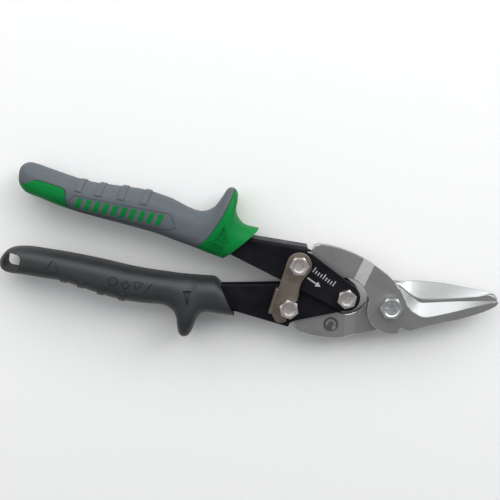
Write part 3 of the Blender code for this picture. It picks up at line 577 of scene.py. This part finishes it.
FLATS = 8.7
SHANK = 3.0
HEAD = 3.8
NECK = 1.8
for joint, place, body, turn in (("upper_tang", upper_pivot, "upper_handle", 13),
                                 ("lower_tang", lower_pivot, "lower_handle", -9),
                                 ("handle_pivot", handle_pivot, "lower_handle", 30)):
    end, top = levels(joint + "_bolt")
    neck = (NECK, levels("latch")[0] - 0.15) if joint == "lower_tang" else None
    rings = bolt_rings(SHANK, end, top - HEAD, FLATS, top, 2.9, 0.6, neck)
    fit(joint + "_hex_bolt", stacked(at(*place), turn, rings), body, "zinc", zinc,
        joint + "_bolt", flats=True)
    end, seat = levels(joint + "_nut")
    nut = stacked(at(*place), 0, nut_rings(SHANK + 0.3, seat, end, FLATS), bored=True)
    fit(joint + "_hex_nut", nut, body, "zinc", zinc, joint + "_nut", flats=True)
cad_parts["lower_tang_collar"].material_slots[0].material = zinc
for name in ("upper_tang_spacer_top", "upper_tang_spacer_underside", "handle_pivot_bush"):
    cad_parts[name].material_slots[0].material = hardened

# ---- Return spring ----------------------------------------------------------------------
# A torsion spring of drawn wire, wound two and a half turns round the handle pivot's bush.
# Its legs press outwards along the two tangs.

drawn_wire = new_finish("drawn_spring_wire", 1.0)
draw_lines = grain(drawn_wire, 0.0008, (1, 1, 4), 2)
wire(drawn_wire, "Base Color", tint(drawn_wire, between(drawn_wire, draw_lines, 0, 1),
                                    (0.18, 0.18, 0.19), (0.30, 0.30, 0.31)))
wire(drawn_wire, "Roughness", between(drawn_wire, draw_lines, 0.24, 0.38))

WIRE_R = 0.6
COIL_R = 5.5
TURNS = 2.5
LEG = 17.0
low, high = levels("return_spring")
low, high = low + WIRE_R, high - WIRE_R
route = [(-LEG, -COIL_R + 0.1 * LEG, low)]
for i in range(151):
    angle = -pi / 2 + 2 * pi * TURNS * i / 150
    route.append((COIL_R * cos(angle), COIL_R * sin(angle), low + (high - low) * i / 150))
route.append((-LEG, COIL_R - 0.1 * LEG, high))
curve = bpy.data.curves.new("return_spring_wire", "CURVE")
curve.dimensions = "3D"
curve.bevel_depth = WIRE_R * MM
curve.bevel_resolution = 4
curve.use_fill_caps = True
spline = curve.splines.new("POLY")
spline.points.add(len(route) - 1)
for knot, (x, y, z) in zip(spline.points, route):
    knot.co = (*at(handle_pivot[0] + x, handle_pivot[1] + y, z), 1)
wound = bpy.data.objects.new("winding", curve)
bpy.context.collection.objects.link(wound)
coil = bmesh.new()
coil.from_mesh(wound.evaluated_get(bpy.context.evaluated_depsgraph_get()).to_mesh())
bpy.data.objects.remove(wound)
bmesh.ops.remove_doubles(coil, verts=coil.verts, dist=1e-6)
spring = fit("return_spring_wire", coil, None, "spring_steel", drawn_wire, "return_spring")
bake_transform(spring)

# ---- Latch ------------------------------------------------------------------------------
# A hook blanked from thin sheet with a thumb tab bent up, plated in yellowed zinc. It turns
# on the upper tang's bolt over a wave washer, and hooks the lower bolt's neck.

latch_plate = new_finish("yellowed_zinc", 1.0)
tumble = grain(latch_plate, 0.0007, (1, 1, 1), 4)
bloom = grain(latch_plate, 0.004, (1, 1, 1), 3)
wire(latch_plate, "Base Color", tint(latch_plate, between(latch_plate, bloom, 0, 1),
                                     (0.19, 0.16, 0.13), (0.26, 0.225, 0.185)))
wire(latch_plate, "Roughness", between(latch_plate, tumble, 0.36, 0.52))
wire(latch_plate, "Normal", relief(latch_plate, tumble, 0.000012))

LATCH_T = 1.6
EYE_R = 6.4
TAB_RISE = 5.2                # the thumb tab over the plate
RELEASE = 4.0                 # degrees off its hooked place
MOUTH = NECK + 0.4
base = levels("latch")[0]
drop = 2 * upper_pivot[1]
eye = arc((0, 0), EYE_R, -22, 180, 40)
lobe = arc((-1.4, -drop - 4.2), 4.5, -112, -32, 14)
lip = [(1.9, -drop - 5.2), (0.9, -drop - 3.4), (0.4, -drop - MOUTH)]
mouth = arc((0, -drop), MOUTH, 270, 90, 20)
nose = [(3.0, -drop + MOUTH), (4.6, -drop + 5.2), (4.4, -drop + 7.6)]
waist = curve_through([nose[-1], (3.7, -10.4), (4.2, -6.4), eye[0]], 6)[1:-1]
outline = eye + [(-EYE_R, -drop - 4.6), (-4.4, -drop - 6.8)] + lobe + lip + mouth + nose + waist
blank = stack([[(x, y, z) for x, y in outline] for z in (0, LATCH_T)])[0]
tab_ends = (-drop - 4.4, -drop + 8.8)
for y in tab_ends:
    bmesh.ops.bisect_plane(blank, geom=[*blank.verts, *blank.edges, *blank.faces],
                           plane_co=(0, y, 0), plane_no=(0, 1, 0), dist=0.001)
bmesh.ops.recalc_face_normals(blank, faces=blank.faces)
side = [f for f in blank.faces if f.normal.x < -0.9 and f.calc_center_median().x < -EYE_R + 0.1
        and tab_ends[0] < f.calc_center_median().y < tab_ends[1]]
made = bmesh.ops.extrude_face_region(blank, geom=side)["geom"]
bmesh.ops.delete(blank, geom=side, context="FACES_ONLY")
bmesh.ops.translate(blank, verts=moved(made), vec=(-LATCH_T, 0, 0))
blank.normal_update()
ledge = [f for f in blank.faces if f.normal.z > 0.9 and f.calc_center_median().x < -EYE_R]
made = bmesh.ops.extrude_face_region(blank, geom=ledge)["geom"]
bmesh.ops.delete(blank, geom=ledge, context="FACES_ONLY")
bmesh.ops.translate(blank, verts=moved(made), vec=(0, 0, TAB_RISE))
bmesh.ops.recalc_face_normals(blank, faces=blank.faces)
soften(blank, corners(blank, 50), PRESSED_EDGE)
bmesh.ops.rotate(blank, verts=blank.verts, matrix=Matrix.Rotation(radians(-RELEASE), 3, "Z"))
bmesh.ops.scale(blank, verts=blank.verts, vec=(MM, MM, MM))
bmesh.ops.translate(blank, verts=blank.verts, vec=at(*upper_pivot, base))
blank = carved(blank, plate(arc(upper_pivot, 3.3, 0, 350, 36), base - 1, base + 3))
fit("latch_hook", blank, "latch", "latch_steel", latch_plate, "latch", flats=True)
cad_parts["latch_wave_washer"].material_slots[0].material = hardened

# ---- Upper grip -------------------------------------------------------------------------
# A soft grey cover moulded over the steel, with a harder green finger guard in front and a
# green insert at the tail. Four raised straps and a grooved panel keep the hand in place.

HALF = 11.85                  # half of the grips' full width
SQUARENESS = 2.6
NECK_X = -107.06
GRIP = 92.6
FLUSH = 0.005 * MM            # no mark stands below the face that the tool lies on


def round_grip(row, angle):
    """A place on a grip's skin, at an angle from its upper edge round one cross-section."""
    top_x, top_y, low_x, low_y, width = row
    up = abs(cos(angle)) ** (2 / SQUARENESS) * (1 if cos(angle) > 0 else -1)
    side = abs(sin(angle)) ** (2 / SQUARENESS) * (1 if sin(angle) > 0 else -1)
    return at((top_x + low_x) / 2 + up * (top_x - low_x) / 2,
              (top_y + low_y) / 2 + up * (top_y - low_y) / 2, side * width * HALF)


def skin(rows, around=80):
    """A grip's moulded body, drawn out from section to section."""
    bm = bmesh.new()
    made = bmesh.ops.create_circle(bm, cap_ends=True, segments=around, radius=1)
    face = first = made["verts"][0].link_faces[0]
    turns = [atan2(vert.co.y, vert.co.x) for vert in face.verts]
    for row in rows:
        if row is not rows[0]:
            geometry = bmesh.ops.extrude_face_region(bm, geom=[face])["geom"]
            if face is not first:
                bmesh.ops.delete(bm, geom=[face], context="FACES_ONLY")
            face = next(item for item in geometry if isinstance(item, bmesh.types.BMFace))
        for vert, angle in zip(face.verts, turns):
            vert.co = round_grip(row, angle)
    bmesh.ops.recalc_face_normals(bm, faces=bm.faces)
    return bm


def grip_rows(table, front):
    """Sections from the tail: shares of the grip's length, then millimetres from its neck."""
    rows = [(NECK_X - a * GRIP, top, NECK_X - b * GRIP, low, width)
            for a, top, b, low, width in table]
    return rows + [(NECK_X + a, top, NECK_X + b, low, width) for a, top, b, low, width in front]


def laid(tree, outlines, low, high, rim=None):
    """Flat shapes on both faces of a grip, which follow its skin from a low to a high level
    over it. A rim's width leaves only the shapes' edges."""
    bm = bmesh.new()
    for side in (1, -1):
        for outline in outlines:
            known = set(bm.faces)
            face = bm.faces.new([bm.verts.new(at(x, y)) for x, y in outline])
            if rim:
                face.normal_update()
                bmesh.ops.inset_individual(bm, faces=[face], thickness=rim * MM,
                                           use_even_offset=True)
                bmesh.ops.delete(bm, geom=[face], context="FACES_ONLY")
            fresh = [face for face in bm.faces if face not in known]
            lines = list({edge for face in fresh for edge in face.edges})
            bmesh.ops.subdivide_edges(bm, edges=lines, cuts=5, use_grid_fill=True)
            fresh = [face for face in bm.faces if face not in known]
            base = {vert for face in fresh for vert in face.verts}
            made = bmesh.ops.extrude_face_region(bm, geom=fresh)["geom"]
            crown = moved(made)
            for vert in (*base, *crown):
                start = Vector((vert.co.x, vert.co.y, main_pivot.z + side * 0.05))
                hit = tree.ray_cast(start, Vector((0, 0, -side)))[0]
                vert.co.z = hit.z + side * low * MM
            for vert in crown:
                vert.co.z += side * (high - low) * MM
                if high < 1:                              # a mark, and not a cutter
                    vert.co.z = max(vert.co.z, FLUSH)
    bmesh.ops.recalc_face_normals(bm, faces=bm.faces)
    return bm


def rubber(name, dark, light, rough, pore, depth, specular):
    """Moulded rubber: a fine etched grain, with a little bloom on the surface."""
    made = new_finish(name, 0.0, specular)
    etched = grain(made, pore, (1, 1, 1), 2)
    handled = grain(made, 0.012, (1, 1, 1), 4)
    wire(made, "Base Color", tint(made, between(made, handled, 0, 1), dark, light))
    wire(made, "Roughness", between(made, handled, rough - 0.04, rough + 0.05))
    wire(made, "Normal", relief(made, etched, depth))
    return made


grey = rubber("grey_soft_rubber", (0.082, 0.096, 0.106), (0.100, 0.116, 0.127), 0.62, 0.0005,
              0.00004, 0.25)
green = rubber("green_moulding", (0.001, 0.155, 0.030), (0.002, 0.195, 0.040), 0.48, 0.0006,
               0.000025, 0.12)

tail = [(0.987, 25.6, 0.986, 22.6, 0.25), (0.984, 27.6, 0.978, 19.8, 0.55),
        (0.966, 29.4, 0.96, 17.2, 0.78), (0.93, 30.1, 0.92, 15.0, 0.92),
        (0.835, 29.1, 0.84, 13.9, 0.98), (0.72, 27.9, 0.735, 12.3, 1.0),
        (0.61, 27.3, 0.625, 11.4, 1.0), (0.465, 28.4, 0.48, 10.8, 1.0),
        (0.31, 29.6, 0.34, 10.4, 1.0), (0.165, 28.5, 0.195, 9.7, 0.98),
        (0.045, 25.8, 0.075, 8.2, 0.94)]
horn = [(2.5, 25.6, 1.2, 7.2, 0.93), (7.6, 28.9, 6.0, 6.4, 0.95),
        (10.4, 34.6, 9.4, 5.8, 0.97), (12.2, 39.4, 11.6, 5.5, 0.98),
        (14.6, 40.94, 13.4, 5.3, 0.99), (17.4, 39.5, 15.0, 5.1, 1.0),
        (18.5, 35.4, 16.0, 5.0, 1.0), (18.8, 30.6, 16.5, 4.95, 1.0),
        (20.8, 26.8, 16.9, 4.9, 1.0), (25.0, 23.9, 17.2, 4.85, 0.97),
        (32.2, 23.7, 17.4, 4.8, 0.93)]
upper_rows = curve_through(grip_rows(tail, horn), 8)
upper_skin = skin(upper_rows)
upper_tree = BVHTree.FromBMesh(upper_skin)

x = NECK_X
parting = [(x + 16.9, 48.0), (x + 15.9, 41.0), (x + 14.4, 33.0), (x + 12.2, 25.0),
           (x + 8.6, 16.0), (x + 3.9, 8.3), (x - 2.0, 0.0)]
front_side = [(x + 60, 0), (x + 60, 48)]
back_side = [(x - 130, 0), (x - 130, 48)]
wave = [(1.05, 21.5), (0.972, 20.9), (0.937, 20.3), (0.915, 21.4), (0.886, 23.4), (0.85, 23.8),
        (0.79, 23.4), (0.725, 22.6), (0.708, 20.6), (0.70, 16.8), (0.685, 12.9), (0.67, 5.0)]
wave = [(x - along * GRIP, across_it) for along, across_it in wave]


def shifted(points, dx, dy):
    return [(px + dx, py + dy) for px, py in points]


GAP = 0.25
panel = [(-171.0, 17.0), (-168.4, 20.5), (-119.6, 22.2), (-115.4, 15.6), (-119.6, 13.4),
         (-168.6, 12.6)]
guard_front = curve_through(parting, 4)
seam = curve_through(wave, 3)
cover = carved(upper_skin.copy(), plate(guard_front + front_side, -20, 20),
               plate(seam + [(wave[0][0], 5.0)], -20, 20),
               laid(upper_tree, [panel], -0.3, 2, rim=0.55))
fit("upper_grip_cover", cover, "upper_handle", "grey_rubber", grey, "upper_grip")
guard = carved(upper_skin.copy(), plate(shifted(guard_front, GAP, 0) + back_side, -20, 20),
               laid(upper_tree, [[(-92.3, 22.2), (-94.0, 16.7), (-89.7, 16.0)]], -0.5, 2))
fit("upper_grip_finger_guard", guard, "upper_handle", "green_rubber", green,
    "upper_grip_guard")
insert = carved(upper_skin, plate(shifted(seam, -GAP, -GAP)
                                  + [(wave[-1][0], 0), (0, 0), (0, 60), (wave[0][0] - 9, 60)],
                                  -20, 20))
fit("upper_grip_tail_moulding", insert, "upper_handle", "green_rubber", green,
    "upper_grip_tail_insert")

rim_marks = laid(upper_tree, [[(-92.3, 23.9), (-95.1, 15.7), (-88.2, 14.7)]], -0.3, 0.5, rim=0.6)
fit("guard_triangle", rim_marks, "upper_handle", "green_rubber", green)
bars = [[(-98.0, 13.0), (-98.2, 13.7), (-89.6, 12.5), (-89.8, 11.8)],
        [(-98.8, 11.4), (-99.0, 12.1), (-91.3, 11.0), (-91.5, 10.3)]]
fit("guard_bars", laid(upper_tree, bars, -0.3, 0.5), "upper_handle", "green_rubber", green)

leaning = []
for i in range(10):
    left = -167.2 + 4.55 * i
    foot = 14.1 + 0.14 * i
    leaning.append([(left, foot), (left + 2.4, foot), (left + 3.5, foot + 5.6),
                    (left + 1.1, foot + 5.6)])
fit("panel_green_bars", laid(upper_tree, leaning, -0.3, 0.22), "upper_handle", "green_rubber",
    green)


def straps_on(rows, centres, turn, rise):
    """Raised straps that lie across a grip's back, centred at an angle round it."""
    straps = bmesh.new()
    for centre in centres:
        nearest = min(rows, key=lambda row: abs(row[0] - centre))
        known = set(straps.faces)
        sheet = bmesh.ops.create_grid(straps, x_segments=6, y_segments=28, size=1)["verts"]
        for vert in sheet:
            row = [value + centre - nearest[0] + vert.co.x * 1.6 if i in (0, 2) else value
                   for i, value in enumerate(nearest)]
            vert.co = round_grip(row, turn + vert.co.y * 1.27)
        fresh = [face for face in straps.faces if face not in known]
        bmesh.ops.recalc_face_normals(straps, faces=fresh)
        straps.normal_update()
        ways = {tuple(vert.co): vert.normal.copy() for vert in sheet}
        crown = moved(bmesh.ops.extrude_face_region(straps, geom=fresh)["geom"])
        for vert in crown:
            vert.co += ways[tuple(vert.co)] * rise * MM
        for vert in sheet:
            vert.co -= ways[tuple(vert.co)] * 0.6 * MM
    bmesh.ops.recalc_face_normals(straps, faces=straps.faces)
    soften(straps, corners(straps, 60), 0.2 * MM, 2)
    for vert in straps.verts:
        vert.co.z = max(vert.co.z, FLUSH)
    return straps


fit("upper_grip_straps", straps_on(upper_rows, (-166.5, -156.5, -145.1, -133.3), 0, 0.8),
    "upper_handle", "grey_rubber", grey)

# ---- Lower grip -------------------------------------------------------------------------
# One charcoal moulding with a thumb horn under its front end and a hang hole through its
# tail. Chevrons and three plain signs are sunk in its faces, and straps cross its back.

charcoal = rubber("charcoal_moulding", (0.010, 0.012, 0.0135), (0.016, 0.019, 0.021), 0.54,
                  0.0006, 0.000025, 0.6)

tail = [(1.0, -21.4, 0.997, -24.2, 0.22), (0.99, -19.0, 0.985, -25.8, 0.46),
        (0.972, -16.2, 0.963, -27.0, 0.62), (0.935, -13.9, 0.925, -27.3, 0.72),
        (0.86, -12.2, 0.855, -26.6, 0.80), (0.747, -11.4, 0.745, -25.9, 0.87),
        (0.635, -10.8, 0.637, -25.2, 0.94), (0.465, -10.3, 0.475, -26.7, 0.98),
        (0.31, -10.4, 0.322, -27.8, 1.0), (0.184, -9.9, 0.192, -27.0, 0.99),
        (0.075, -9.0, 0.07, -25.5, 0.97)]
horn = [(-2.5, -8.6, -1.1, -27.4, 0.96), (-0.5, -8.3, 1.4, -30.6, 0.96),
        (1.0, -8.0, 3.0, -35.2, 0.96), (2.4, -7.8, 4.8, -38.8, 0.96),
        (3.6, -7.7, 7.2, -39.7, 0.96), (4.8, -7.5, 9.6, -38.2, 0.96),
        (6.0, -7.3, 10.9, -34.5, 0.97), (7.4, -7.1, 11.5, -29.6, 0.98),
        (9.4, -6.9, 12.8, -26.1, 0.98), (12.5, -6.4, 16.0, -24.1, 0.96),
        (16.0, -5.9, 23.0, -23.6, 0.90), (18.7, -7.2, 30.2, -23.0, 0.80)]
lower_rows = curve_through(grip_rows(tail, horn), 8)
lower_skin = skin(lower_rows)
lower_tree = BVHTree.FromBMesh(lower_skin)

HOLE = 8.4
hole_middle = (NECK_X - GRIP + 7.0, -20.5)
rounding = HOLE / 2 * 0.62
hole = []
for turn, sx, sy in ((0, 1, 1), (90, -1, 1), (180, -1, -1), (270, 1, -1)):
    bend = (hole_middle[0] + sx * (HOLE / 2 - rounding),
            hole_middle[1] + sy * (HOLE / 2 - rounding))
    hole += arc(bend, rounding, turn, turn + 90, 10)
grooves = [[(-178.6, -20.4), (-174.9, -19.6), (-172.6, -14.4), (-172.1, -14.7), (-174.4, -20.1),
            (-178.6, -20.9)],
           [(-170.9, -15.1), (-167.8, -19.1), (-168.3, -19.4), (-171.4, -15.4)],
           [(-121.5, -14.6), (-120.9, -14.9), (-124.4, -21.6), (-129.5, -22.4), (-129.6, -21.9),
            (-124.8, -21.1)]]
pocket = [(-105.3, -14.8), (-101.0, -13.8), (-101.5, -21.6)]
diamond = [(-133.8, -15.6), (-136.2, -18.3), (-133.8, -21.0), (-131.4, -18.3)]
triangle = [(-125.2, -15.3), (-128.1, -20.2), (-130.4, -15.3)]
signs = [arc((-140.6, -17.9), 2.5, 0, 345, 24), diamond, triangle]
body = carved(lower_skin, plate(hole, -20, 20), laid(lower_tree, grooves, -0.3, 2),
              laid(lower_tree, [pocket], -1.8, 2),
              laid(lower_tree, signs, -0.5, 2, rim=0.6))
fit("lower_grip_moulding", body, "lower_handle", "charcoal", charcoal, "lower_grip")
fit("lower_grip_straps", straps_on(lower_rows, (-165.3, -155.8, -144.9, -133.8), pi, 0.25),
    "lower_handle", "charcoal", charcoal)

# ---- Floor, light and camera ------------------------------------------------------------
# A pale matte table, soft boxes round it, and a camera that looks almost straight down.

paper = new_finish("pale_table", 0.0, 0.1)
wire(paper, "Base Color", tint(paper, grain(paper, 0.002), (0.84, 0.84, 0.84), (0.87, 0.87, 0.87)))
wire(paper, "Roughness", between(paper, grain(paper, 0.01), 0.85, 0.95))
table = bmesh.new()
bmesh.ops.create_grid(table, x_segments=2, y_segments=2, size=2.5)
table_mesh = bpy.data.meshes.new("table")
table.to_mesh(table_mesh)
table.free()
table_mesh.materials.append(paper)
table_top = bpy.data.objects.new("table", table_mesh)
bpy.context.collection.objects.link(table_top)

world = bpy.data.worlds.new("studio")
world.use_nodes = True
world.node_tree.nodes["Background"].inputs["Color"].default_value = (0.96, 0.98, 1.0, 1)
world.node_tree.nodes["Background"].inputs["Strength"].default_value = 0.34
bpy.context.scene.world = world
bpy.context.scene.view_settings.view_transform = "Standard"

target = at(-76.62, 11.72)
image_up = Vector((-0.22837, 0.97357, 0))
image_right = Vector((0.97357, 0.22837, 0))


def soft_box(name, right, up, height, size, power):
    """A square lamp over the tool, aimed at it."""
    lamp = bpy.data.lights.new(name, "AREA")
    lamp.shape = "RECTANGLE"
    lamp.size, lamp.size_y = size
    lamp.energy = power
    item = bpy.data.objects.new(name, lamp)
    place = target + image_right * right + image_up * up + Vector((0, 0, height))
    way = (target - place).to_track_quat("-Z", "Y")
    item.matrix_world = Matrix.Translation(place) @ way.to_matrix().to_4x4()
    bpy.context.collection.objects.link(item)


soft_box("top_box", 0.05, 0.85, 0.85, (2.4, 1.1), 17)
soft_box("low_box", 0.0, 1.3, 0.42, (2.2, 0.6), 4)
soft_box("left_box", -0.9, 0.2, 0.9, (0.5, 0.9), 2)
soft_box("right_box", 0.95, 0.75, 0.75, (0.7, 0.9), 6)

lens = bpy.data.cameras.new("camera")
lens.sensor_width = 36
lens.lens = 78.9
lens.clip_start = 0.01
camera = bpy.data.objects.new("camera", lens)
place = target + image_up * 0.09243 + Vector((0, 0, 0.55232))
back = (place - target).normalized()
right = image_right
up = back.cross(right)
turned = Matrix((right, up, back)).transposed().to_4x4()
camera.matrix_world = Matrix.Translation(place) @ turned
bpy.context.collection.objects.link(camera)
bpy.context.scene.camera = camera
